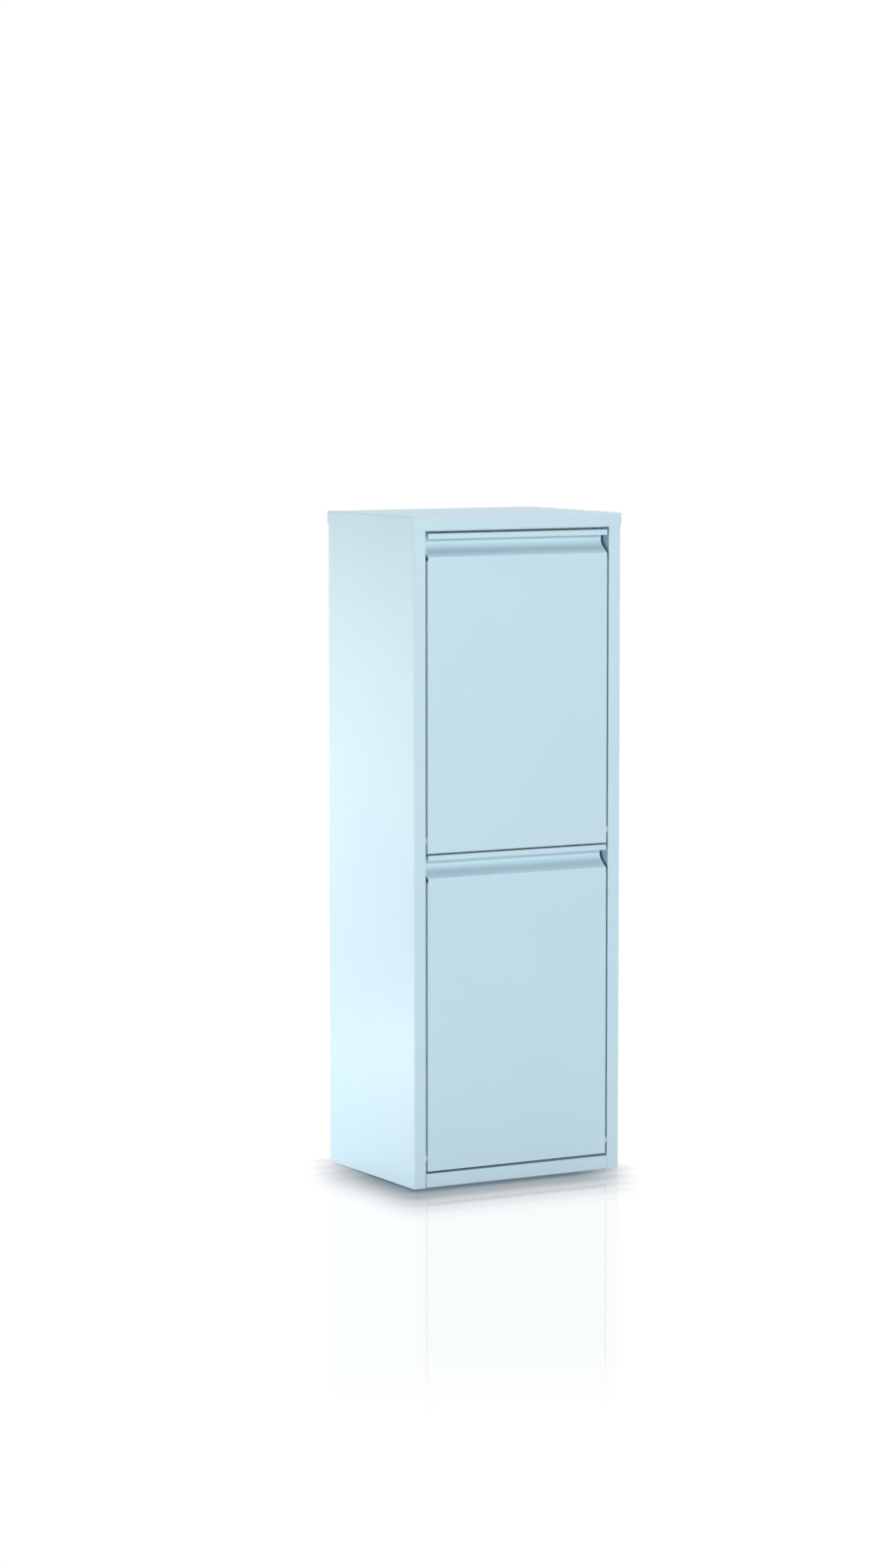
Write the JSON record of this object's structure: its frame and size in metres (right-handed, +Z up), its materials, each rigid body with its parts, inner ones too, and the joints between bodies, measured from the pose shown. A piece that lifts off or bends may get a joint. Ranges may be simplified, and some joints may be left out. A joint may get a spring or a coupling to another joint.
{
  "type": "shoe cabinet",
  "caption": "Slim free-standing sheet-steel shoe cabinet with two stacked tilt-out flaps, folded finger pulls along their tops and a folded lid.",
  "frame": {"origin": "middle of the base, at the level the glides stand on", "axes": "+Z up, +X to the right seen from the front, +Y from the front to the back; the flaps face -Y"},
  "size_m": [0.3324, 0.2524, 0.93],
  "materials": {
    "painted_steel": "satin pale ice-blue powder coat",
    "zinc_steel": "bright zinc plate",
    "nylon": "natural white nylon",
    "buffer_rubber": "matt black rubber"
  },
  "bodies": {
    "cabinet": {"back_panel": "painted_steel", "back_rivet_left_bottom": "zinc_steel", "back_rivet_left_middle": "zinc_steel", "back_rivet_left_top": "zinc_steel", "back_rivet_right_bottom": "zinc_steel", "back_rivet_right_middle": "zinc_steel", "back_rivet_right_top": "zinc_steel", "bottom_panel": "painted_steel", "divider_shelf": "painted_steel", "foot_front_left": "nylon", "foot_front_right": "nylon", "foot_rear_left": "nylon", "foot_rear_right": "nylon", "left_side_panel": "painted_steel", "lid": "painted_steel", "lower_left_buffer": "buffer_rubber", "lower_left_bush": "nylon", "lower_left_stop_pin": "zinc_steel", "lower_right_buffer": "buffer_rubber", "lower_right_bush": "nylon", "lower_right_stop_pin": "zinc_steel", "right_side_panel": "painted_steel", "top_front_rail": "painted_steel", "top_rear_rail": "painted_steel", "upper_left_buffer": "buffer_rubber", "upper_left_bush": "nylon", "upper_left_stop_pin": "zinc_steel", "upper_right_buffer": "buffer_rubber", "upper_right_bush": "nylon", "upper_right_stop_pin": "zinc_steel"},
    "upper_door": {"upper_door_lower_bar": "zinc_steel", "upper_door_lower_tray": "painted_steel", "upper_door_panel": "painted_steel", "upper_door_stiffener": "painted_steel", "upper_door_upper_bar": "zinc_steel", "upper_door_upper_tray": "painted_steel", "upper_left_pivot_pin": "zinc_steel", "upper_left_rack_plate": "painted_steel", "upper_right_pivot_pin": "zinc_steel", "upper_right_rack_plate": "painted_steel"},
    "lower_door": {"lower_door_lower_bar": "zinc_steel", "lower_door_lower_tray": "painted_steel", "lower_door_panel": "painted_steel", "lower_door_stiffener": "painted_steel", "lower_door_upper_bar": "zinc_steel", "lower_door_upper_tray": "painted_steel", "lower_left_pivot_pin": "zinc_steel", "lower_left_rack_plate": "painted_steel", "lower_right_pivot_pin": "zinc_steel", "lower_right_rack_plate": "painted_steel"}
  },
  "joints": [
    {"name": "upper_door_tilt", "type": "hinge", "parent": "cabinet", "child": "upper_door", "pos_m": [0, -0.1185, 0.485], "axis": [1, 0, 0], "range_deg": [0, 38]},
    {"name": "lower_door_tilt", "type": "hinge", "parent": "cabinet", "child": "lower_door", "pos_m": [0, -0.1185, 0.0425], "axis": [1, 0, 0], "range_deg": [0, 38]}
  ]
}
